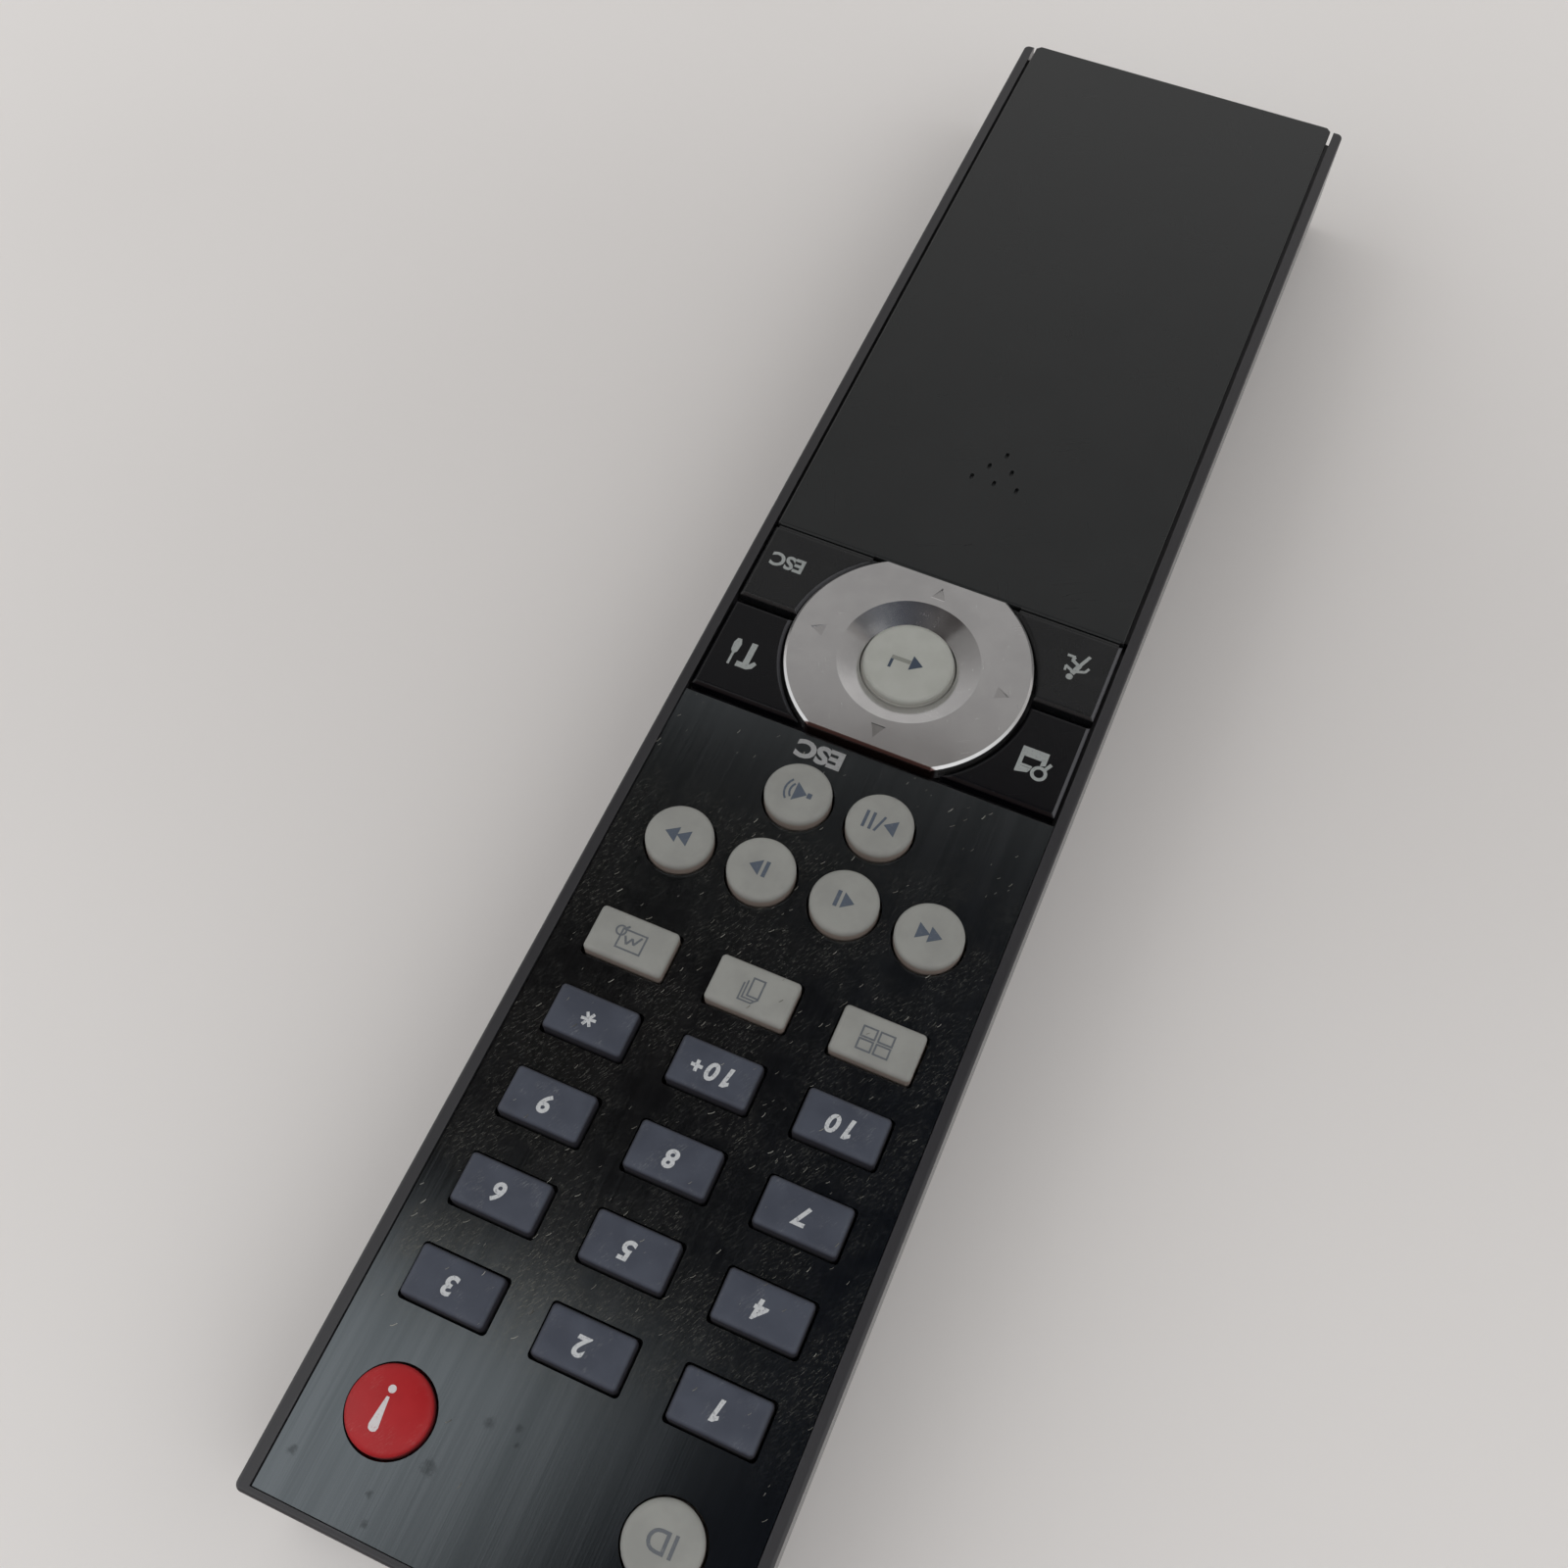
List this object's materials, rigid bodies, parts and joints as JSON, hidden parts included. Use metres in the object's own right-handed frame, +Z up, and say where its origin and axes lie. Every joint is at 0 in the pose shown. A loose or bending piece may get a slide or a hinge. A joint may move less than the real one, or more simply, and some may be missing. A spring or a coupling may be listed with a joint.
{
  "type": "remote control",
  "caption": "Long hand-held remote control for a camera recorder: digit keys, shuttle keys, a tilting direction ring with an enter key, and a sliding battery cover.",
  "frame": {"origin": "middle of the underside, on the table", "axes": "+Y towards the infrared window, +Z up through the keys, +X across"},
  "size_m": [0.049, 0.22, 0.0183],
  "materials": {
    "case_plastic": "satin, fine grain",
    "brushed_plate": "near black, brushed along the length, glossy",
    "cover_plastic": "satin",
    "silver_plating": "satin plating with bright bevels",
    "inner_plastic": "plain moulded",
    "pearl_key": "semi gloss, faintly green white",
    "red_rubber": "satin",
    "pale_rubber": "satin",
    "slate_rubber": "satin, dusty edges",
    "corner_gloss": "glossy",
    "mat_rubber": "matt",
    "board": "solder resist",
    "emitter_resin": "clear resin",
    "smoked_window": "smoked, polished",
    "chip_resin": "moulded resin",
    "ceramic": "glazed ceramic",
    "capacitor_sleeve": "shrunk sleeve",
    "cell_wrap": "plain printed wrap",
    "contact_metal": "nickel plated",
    "screw_steel": "zinc plated"
  },
  "bodies": {
    "case": {"upper_case": "case_plastic", "lower_case": "case_plastic", "face_plate": "brushed_plate", "keypad_mat": "mat_rubber", "circuit_board": "board", "ir_leds": "emitter_resin", "ir_window": "smoked_window", "control_chip": "chip_resin", "resonator": "ceramic", "storage_capacitor": "capacitor_sleeve", "cell_left": "cell_wrap", "cell_right": "cell_wrap", "contact_springs": "contact_metal", "front_contacts": "contact_metal", "bridge_contact": "contact_metal", "case_screws": "screw_steel"},
    "battery_cover": {"battery_cover": "cover_plastic"},
    "dpad_rocker": {"dpad_rocker": "inner_plastic"},
    "dpad_ring": {"dpad_ring": "silver_plating"},
    "enter_key": {"enter_key": "pearl_key"},
    "key_1": {"key_1": "slate_rubber"},
    "key_2": {"key_2": "slate_rubber"},
    "key_3": {"key_3": "slate_rubber"},
    "key_4": {"key_4": "slate_rubber"},
    "key_5": {"key_5": "slate_rubber"},
    "key_6": {"key_6": "slate_rubber"},
    "key_7": {"key_7": "slate_rubber"},
    "key_8": {"key_8": "slate_rubber"},
    "key_9": {"key_9": "slate_rubber"},
    "key_10": {"key_10": "slate_rubber"},
    "key_10_plus": {"key_10_plus": "slate_rubber"},
    "key_star": {"key_star": "slate_rubber"},
    "split_view_key": {"split_view_key": "pale_rubber"},
    "page_key": {"page_key": "pale_rubber"},
    "picture_search_key": {"picture_search_key": "pale_rubber"},
    "rewind_key": {"rewind_key": "pale_rubber"},
    "step_back_key": {"step_back_key": "pale_rubber"},
    "step_forward_key": {"step_forward_key": "pale_rubber"},
    "fast_forward_key": {"fast_forward_key": "pale_rubber"},
    "play_pause_key": {"play_pause_key": "pale_rubber"},
    "sound_key": {"sound_key": "pale_rubber"},
    "id_key": {"id_key": "pale_rubber"},
    "alarm_key": {"alarm_key": "red_rubber"},
    "screen_search_key": {"screen_search_key": "corner_gloss"},
    "tools_key": {"tools_key": "corner_gloss"},
    "motion_key": {"motion_key": "corner_gloss"},
    "escape_key": {"escape_key": "corner_gloss"}
  },
  "joints": [
    {"name": "cover_slide", "type": "slide", "parent": "case", "child": "battery_cover", "axis": [0, -1, 0], "range_m": [0, 0.1]},
    {"name": "ring_pitch", "type": "hinge", "parent": "case", "child": "dpad_rocker", "pos_m": [0, 0.0006, 0.015], "axis": [1, 0, 0], "range_deg": [-2.5, 2.5], "stiffness_Nm_per_rad": 0.3},
    {"name": "ring_roll", "type": "hinge", "parent": "dpad_rocker", "child": "dpad_ring", "pos_m": [0, 0.0006, 0.015], "axis": [0, 1, 0], "range_deg": [-2.5, 2.5], "stiffness_Nm_per_rad": 0.3},
    {"name": "enter_key_press", "type": "slide", "parent": "case", "child": "enter_key", "axis": [0, 0, -1], "range_m": [0, 0.0006], "stiffness_N_per_m": 300},
    {"name": "key_1_press", "type": "slide", "parent": "case", "child": "key_1", "axis": [0, 0, -1], "range_m": [0, 0.0008], "stiffness_N_per_m": 250},
    {"name": "key_2_press", "type": "slide", "parent": "case", "child": "key_2", "axis": [0, 0, -1], "range_m": [0, 0.0008], "stiffness_N_per_m": 250},
    {"name": "key_3_press", "type": "slide", "parent": "case", "child": "key_3", "axis": [0, 0, -1], "range_m": [0, 0.0008], "stiffness_N_per_m": 250},
    {"name": "key_4_press", "type": "slide", "parent": "case", "child": "key_4", "axis": [0, 0, -1], "range_m": [0, 0.0008], "stiffness_N_per_m": 250},
    {"name": "key_5_press", "type": "slide", "parent": "case", "child": "key_5", "axis": [0, 0, -1], "range_m": [0, 0.0008], "stiffness_N_per_m": 250},
    {"name": "key_6_press", "type": "slide", "parent": "case", "child": "key_6", "axis": [0, 0, -1], "range_m": [0, 0.0008], "stiffness_N_per_m": 250},
    {"name": "key_7_press", "type": "slide", "parent": "case", "child": "key_7", "axis": [0, 0, -1], "range_m": [0, 0.0008], "stiffness_N_per_m": 250},
    {"name": "key_8_press", "type": "slide", "parent": "case", "child": "key_8", "axis": [0, 0, -1], "range_m": [0, 0.0008], "stiffness_N_per_m": 250},
    {"name": "key_9_press", "type": "slide", "parent": "case", "child": "key_9", "axis": [0, 0, -1], "range_m": [0, 0.0008], "stiffness_N_per_m": 250},
    {"name": "key_10_press", "type": "slide", "parent": "case", "child": "key_10", "axis": [0, 0, -1], "range_m": [0, 0.0008], "stiffness_N_per_m": 250},
    {"name": "key_10_plus_press", "type": "slide", "parent": "case", "child": "key_10_plus", "axis": [0, 0, -1], "range_m": [0, 0.0008], "stiffness_N_per_m": 250},
    {"name": "key_star_press", "type": "slide", "parent": "case", "child": "key_star", "axis": [0, 0, -1], "range_m": [0, 0.0008], "stiffness_N_per_m": 250},
    {"name": "split_view_key_press", "type": "slide", "parent": "case", "child": "split_view_key", "axis": [0, 0, -1], "range_m": [0, 0.0008], "stiffness_N_per_m": 250},
    {"name": "page_key_press", "type": "slide", "parent": "case", "child": "page_key", "axis": [0, 0, -1], "range_m": [0, 0.0008], "stiffness_N_per_m": 250},
    {"name": "picture_search_key_press", "type": "slide", "parent": "case", "child": "picture_search_key", "axis": [0, 0, -1], "range_m": [0, 0.0008], "stiffness_N_per_m": 250},
    {"name": "rewind_key_press", "type": "slide", "parent": "case", "child": "rewind_key", "axis": [0, 0, -1], "range_m": [0, 0.0008], "stiffness_N_per_m": 250},
    {"name": "step_back_key_press", "type": "slide", "parent": "case", "child": "step_back_key", "axis": [0, 0, -1], "range_m": [0, 0.0008], "stiffness_N_per_m": 250},
    {"name": "step_forward_key_press", "type": "slide", "parent": "case", "child": "step_forward_key", "axis": [0, 0, -1], "range_m": [0, 0.0008], "stiffness_N_per_m": 250},
    {"name": "fast_forward_key_press", "type": "slide", "parent": "case", "child": "fast_forward_key", "axis": [0, 0, -1], "range_m": [0, 0.0008], "stiffness_N_per_m": 250},
    {"name": "play_pause_key_press", "type": "slide", "parent": "case", "child": "play_pause_key", "axis": [0, 0, -1], "range_m": [0, 0.0008], "stiffness_N_per_m": 250},
    {"name": "sound_key_press", "type": "slide", "parent": "case", "child": "sound_key", "axis": [0, 0, -1], "range_m": [0, 0.0008], "stiffness_N_per_m": 250},
    {"name": "id_key_press", "type": "slide", "parent": "case", "child": "id_key", "axis": [0, 0, -1], "range_m": [0, 0.0008], "stiffness_N_per_m": 250},
    {"name": "alarm_key_press", "type": "slide", "parent": "case", "child": "alarm_key", "axis": [0, 0, -1], "range_m": [0, 0.0008], "stiffness_N_per_m": 250},
    {"name": "screen_search_key_press", "type": "slide", "parent": "case", "child": "screen_search_key", "axis": [0, 0, -1], "range_m": [0, 0.0006], "stiffness_N_per_m": 250},
    {"name": "tools_key_press", "type": "slide", "parent": "case", "child": "tools_key", "axis": [0, 0, -1], "range_m": [0, 0.0006], "stiffness_N_per_m": 250},
    {"name": "motion_key_press", "type": "slide", "parent": "case", "child": "motion_key", "axis": [0, 0, -1], "range_m": [0, 0.0006], "stiffness_N_per_m": 250},
    {"name": "escape_key_press", "type": "slide", "parent": "case", "child": "escape_key", "axis": [0, 0, -1], "range_m": [0, 0.0006], "stiffness_N_per_m": 250}
  ]
}
